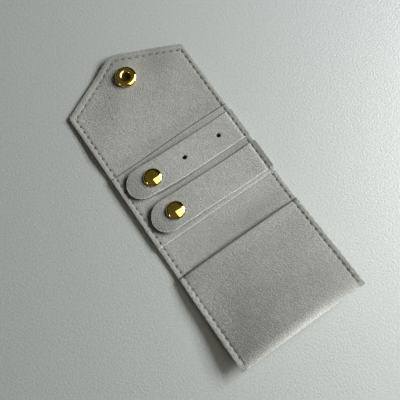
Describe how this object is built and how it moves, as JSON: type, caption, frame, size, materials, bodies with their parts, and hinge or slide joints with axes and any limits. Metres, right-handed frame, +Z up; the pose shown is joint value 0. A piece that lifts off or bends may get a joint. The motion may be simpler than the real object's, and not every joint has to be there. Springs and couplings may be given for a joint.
{
  "type": "folding jewelry organizer",
  "caption": "Flat strip of suede in three folding panels: a pointed flap with a snap, two snap-down straps for earrings and rings, and a pocket that folds up.",
  "frame": {"origin": "centre of the middle panel's underside, on the surface that the open organizer lies on", "axes": "+Z up; +Y along the strip towards the pointed flap; +X across the strip, towards the sewn ends of the two straps"},
  "size_m": [0.0795, 0.1883, 0.013],
  "materials": {
    "suede_outside": "brushed microfibre suede, matt, outside shell",
    "suede_inside": "brushed microfibre suede, matt, lining and panels",
    "suede_strap": "brushed microfibre suede, matt, straps",
    "brass_polished": "polished gold-coloured brass",
    "brass_inner": "satin brass, hidden rivets"
  },
  "bodies": {
    "middle": {"middle_shell": "suede_outside", "middle_lining": "suede_inside", "strap_panel": "suede_inside", "earring_strap_tail": "suede_strap", "ring_strap_tail": "suede_strap", "earring_stud": "brass_polished", "earring_rivet": "brass_inner", "ring_stud": "brass_polished", "ring_rivet": "brass_inner"},
    "flap": {"flap_shell": "suede_outside", "flap_lining": "suede_inside", "closure_cap": "brass_polished", "closure_socket": "brass_polished"},
    "earring_strap": {"earring_strap": "suede_strap", "earring_cap": "brass_polished", "earring_socket": "brass_polished"},
    "ring_strap": {"ring_strap": "suede_strap", "ring_cap": "brass_polished", "ring_socket": "brass_polished"},
    "pocket": {"pocket_shell": "suede_outside", "pocket_lining": "suede_inside", "pocket_front": "suede_inside", "closure_stud": "brass_polished", "closure_rivet": "brass_inner"}
  },
  "joints": [
    {"name": "flap_fold", "type": "hinge", "parent": "middle", "child": "flap", "pos_m": [0, 0.0335, 0.00996], "axis": [1, 0, 0], "range_deg": [0, 176.83]},
    {"name": "pocket_fold", "type": "hinge", "parent": "middle", "child": "pocket", "pos_m": [0, -0.0335, 0.00766], "axis": [-1, 0, 0], "range_deg": [0, 172.24]},
    {"name": "earring_strap_lift", "type": "hinge", "parent": "middle", "child": "earring_strap", "pos_m": [0.03655, 0.01995, 0.00425], "axis": [0, 1, 0], "range_deg": [0, 177.75]},
    {"name": "ring_strap_lift", "type": "hinge", "parent": "middle", "child": "ring_strap", "pos_m": [0.03655, -0.0027, 0.00425], "axis": [0, 1, 0], "range_deg": [0, 177.75]}
  ]
}
